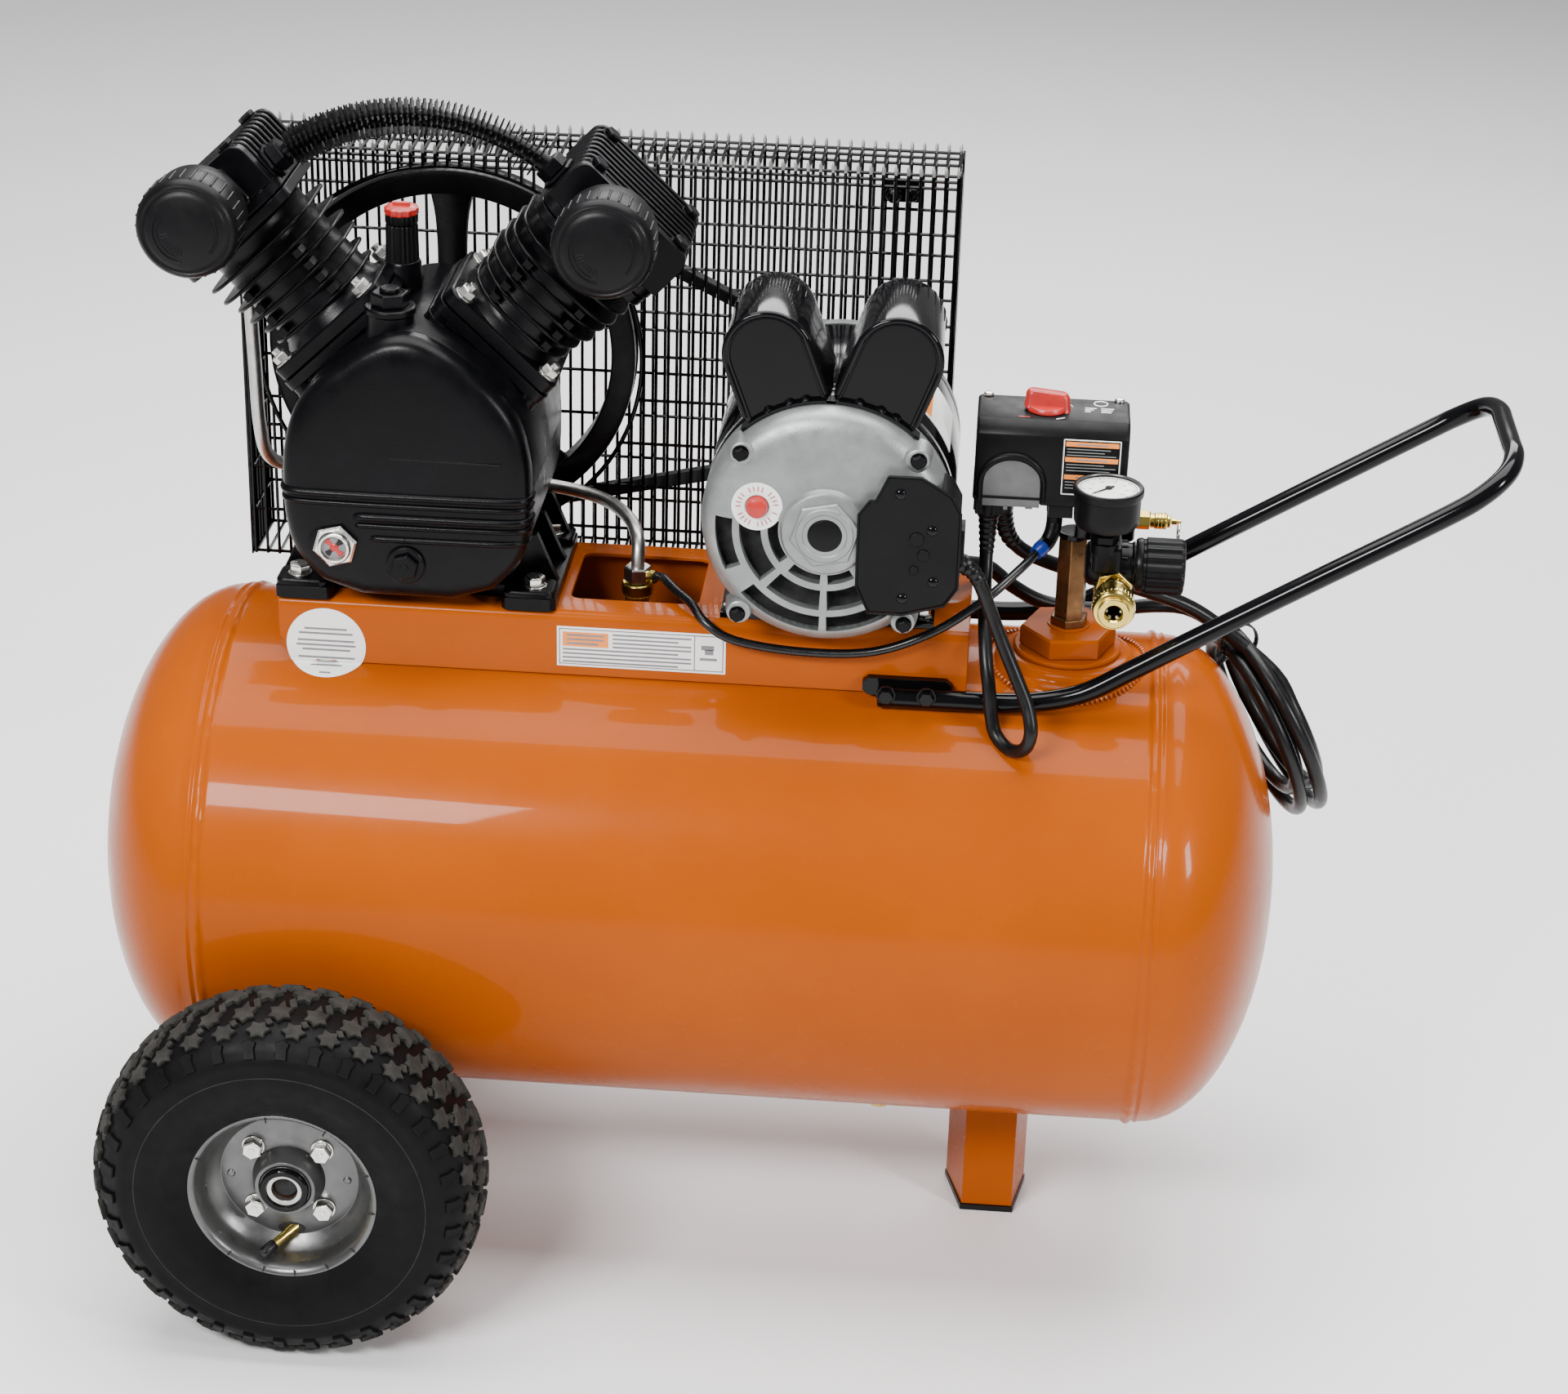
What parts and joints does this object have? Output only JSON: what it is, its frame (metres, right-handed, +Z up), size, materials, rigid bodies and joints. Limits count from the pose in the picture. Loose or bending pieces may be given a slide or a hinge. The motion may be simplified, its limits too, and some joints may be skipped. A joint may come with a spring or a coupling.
{
  "type": "twin stack compressor",
  "caption": "Wheeled air compressor: horizontal tank carrying a belt-driven V-twin pump, an electric motor, a wire belt guard, a pressure switch and a regulator with a hose coupler.",
  "frame": {"origin": "on the floor, in the middle of the whole length and between the two wheels", "axes": "+X along the tank towards the handle, +Y across it towards the belt side, +Z up"},
  "size_m": [0.9849, 0.5516, 0.843],
  "materials": {
    "orange": "glossy orange paint with a light orange peel",
    "rubber": "matt black rubber",
    "brass": "bright turned brass",
    "rim_grey": "satin grey metallic paint",
    "tyre_rubber": "matt black tyre rubber",
    "black_gloss": "glossy black powder coat",
    "black_cast": "satin black painted casting",
    "steel": "bare satin steel",
    "red_plastic": "glossy red plastic",
    "black_plastic": "fine textured black plastic",
    "grey_bell": "silver grey painted casting"
  },
  "bodies": {
    "frame": {"bell_front": "grey_bell", "bell_rear": "grey_bell", "capacitor_left": "black_gloss", "capacitor_right": "black_gloss", "check_valve": "brass", "cord_coil": "rubber", "cord_run": "rubber", "cord_tail": "rubber", "coupler_body": "brass", "crankcase": "black_cast", "cross_tube": "black_cast", "cylinder_left": "black_cast", "cylinder_right": "black_cast", "discharge_tube": "steel", "drain_body": "brass", "drive_belt": "rubber", "filter_left": "black_plastic", "filter_right": "black_plastic", "foot_leg": "orange", "foot_pad": "rubber", "front_cover": "black_cast", "gauge": "black_cast", "guard_front": "black_gloss", "guard_rear": "black_gloss", "handle": "black_gloss", "head_left": "black_cast", "head_right": "black_cast", "motor_lead": "rubber", "motor_shell": "black_gloss", "oil_plug": "black_cast", "outlet_bushing": "orange", "power_plug": "rubber", "regulator_body": "black_cast", "riser_pipe": "steel", "saddle": "orange", "safety_valve": "brass", "sight_glass": "steel", "switch_body": "black_plastic", "tank_shell": "orange", "terminal_cover": "black_plastic", "unloader_tube": "black_plastic", "wheel_bracket": "orange"},
    "wheel_near": {"rim_near": "rim_grey", "tyre_near": "tyre_rubber"},
    "wheel_far": {"rim_far": "rim_grey", "tyre_far": "tyre_rubber"},
    "crank_train": {"crankshaft": "steel", "flywheel": "black_cast"},
    "rotor": {"rotor_shaft": "steel", "motor_pulley": "black_cast"},
    "piston_left": {"piston_left": "steel"},
    "piston_right": {"piston_right": "steel"},
    "switch_knob": {"switch_knob": "red_plastic"},
    "regulator_knob": {"regulator_knob": "black_plastic"},
    "safety_ring": {"safety_ring": "steel"},
    "coupler_sleeve": {"coupler_sleeve": "brass"},
    "reset_button": {"reset_button": "red_plastic"},
    "drain_knob": {"drain_knob": "brass"},
    "filler_cap": {"filler_cap": "red_plastic"},
    "gauge_needle": {"gauge_needle": "red_plastic"}
  },
  "joints": [
    {"name": "wheel_near_spin", "type": "hinge", "parent": "frame", "child": "wheel_near", "pos_m": [-0.32246, -0.23, 0.1385], "axis": [0, 1, 0], "continuous": true},
    {"name": "wheel_far_spin", "type": "hinge", "parent": "frame", "child": "wheel_far", "pos_m": [-0.32246, 0.23, 0.1385], "axis": [0, 1, 0], "continuous": true},
    {"name": "crank_spin", "type": "hinge", "parent": "frame", "child": "crank_train", "pos_m": [-0.25746, 0.118, 0.628], "axis": [0, 1, 0], "continuous": true},
    {"name": "rotor_spin", "type": "hinge", "parent": "frame", "child": "rotor", "pos_m": [0.02954, 0.118, 0.595], "axis": [0, 1, 0], "continuous": true},
    {"name": "piston_left_stroke", "type": "slide", "parent": "frame", "child": "piston_left", "axis": [-0.6884, 0, 0.7254], "range_m": [-0.04, 0.008]},
    {"name": "piston_right_stroke", "type": "slide", "parent": "frame", "child": "piston_right", "axis": [0.6884, 0, 0.7254], "range_m": [-0.04, 0.008]},
    {"name": "switch_turn", "type": "hinge", "parent": "frame", "child": "switch_knob", "pos_m": [0.17254, -0.01, 0.65], "axis": [0, 0, 1], "range_deg": [0, 90]},
    {"name": "regulator_turn", "type": "hinge", "parent": "frame", "child": "regulator_knob", "pos_m": [0.25454, -0.044, 0.553], "axis": [1, 0, 0], "range_deg": [-360, 360]},
    {"name": "safety_ring_pull", "type": "slide", "parent": "frame", "child": "safety_ring", "axis": [1, 0, 0], "range_m": [0, 0.004], "stiffness_N_per_m": 600, "springref_m": -0.002},
    {"name": "coupler_sleeve_slide", "type": "slide", "parent": "frame", "child": "coupler_sleeve", "axis": [0, 1, 0], "range_m": [0, 0.005], "stiffness_N_per_m": 500, "springref_m": -0.002},
    {"name": "reset_button_press", "type": "slide", "parent": "frame", "child": "reset_button", "axis": [0, 1, 0], "range_m": [0, 0.003], "stiffness_N_per_m": 400, "springref_m": -0.001},
    {"name": "drain_knob_turn", "type": "hinge", "parent": "frame", "child": "drain_knob", "pos_m": [0.07954, 0, 0.085], "axis": [0, 0, 1], "range_deg": [0, 720]},
    {"name": "filler_cap_lift", "type": "slide", "parent": "frame", "child": "filler_cap", "axis": [0, 0, 1], "range_m": [0, 0.03]},
    {"name": "gauge_needle_swing", "type": "hinge", "parent": "frame", "child": "gauge_needle", "pos_m": [0.21654, -0.063, 0.616], "axis": [0, 0, -1], "range_deg": [0, 270]}
  ],
  "couplings": [
    {"joint": "rotor_spin", "follows": "crank_spin", "ratio": 3.8235}
  ]
}
